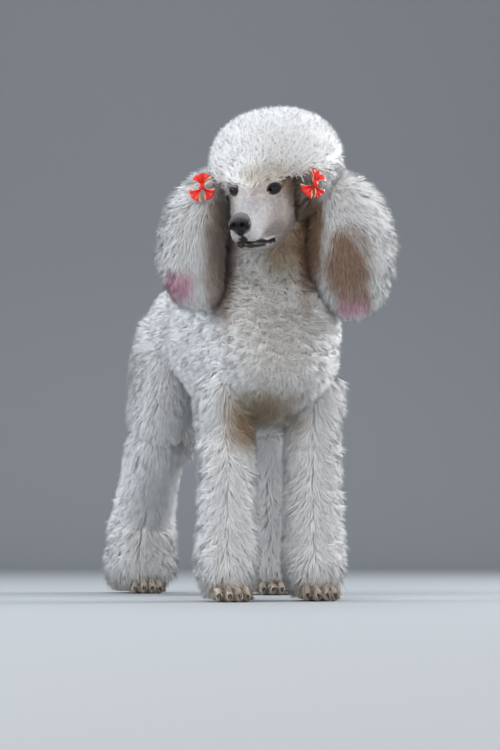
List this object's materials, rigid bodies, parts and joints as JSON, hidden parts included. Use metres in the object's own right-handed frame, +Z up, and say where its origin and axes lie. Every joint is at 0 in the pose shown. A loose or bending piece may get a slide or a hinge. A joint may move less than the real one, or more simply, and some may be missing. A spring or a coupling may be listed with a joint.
{
  "type": "standard poodle",
  "caption": "Life-size standing poodle with a full topknot, long ears, scissored leg coat and a ribbon bow at each ear; a still display figure.",
  "frame": {"origin": "on the floor, under the middle of the dog's overall box", "axes": "+Z up, -Y the way the body faces, +X the dog's left"},
  "size_m": [0.3692, 0.9396, 0.7653],
  "materials": {
    "coat": "dense curly white hair",
    "skin": "close-clipped white hair over pale pink and grey skin",
    "nose_leather": "moist pebbled black-brown",
    "eye": "wet, near black",
    "claw": "dark horn",
    "ribbon": "red satin with gilt wired edges"
  },
  "bodies": {
    "root": {"bow_left": "ribbon", "bow_right": "ribbon", "ear_left": "coat", "ear_right": "coat", "eye_left": "eye", "eye_right": "eye", "foreclaw_left_1": "claw", "foreclaw_left_2": "claw", "foreclaw_left_3": "claw", "foreclaw_left_4": "claw", "foreclaw_right_1": "claw", "foreclaw_right_2": "claw", "foreclaw_right_3": "claw", "foreclaw_right_4": "claw", "foreleg_left": "coat", "foreleg_right": "coat", "forepaw_left": "skin", "forepaw_right": "skin", "head": "skin", "hindclaw_left_1": "claw", "hindclaw_left_2": "claw", "hindclaw_left_3": "claw", "hindclaw_left_4": "claw", "hindclaw_right_1": "claw", "hindclaw_right_2": "claw", "hindclaw_right_3": "claw", "hindclaw_right_4": "claw", "hindpaw_left": "skin", "hindpaw_right": "skin", "jaw": "skin", "knot_left": "ribbon", "knot_right": "ribbon", "neck": "coat", "nose": "nose_leather", "shank_left": "coat", "shank_right": "coat", "tail": "coat", "thigh_left": "coat", "thigh_right": "coat", "topknot": "coat", "torso": "coat"}
  },
  "joints": []
}
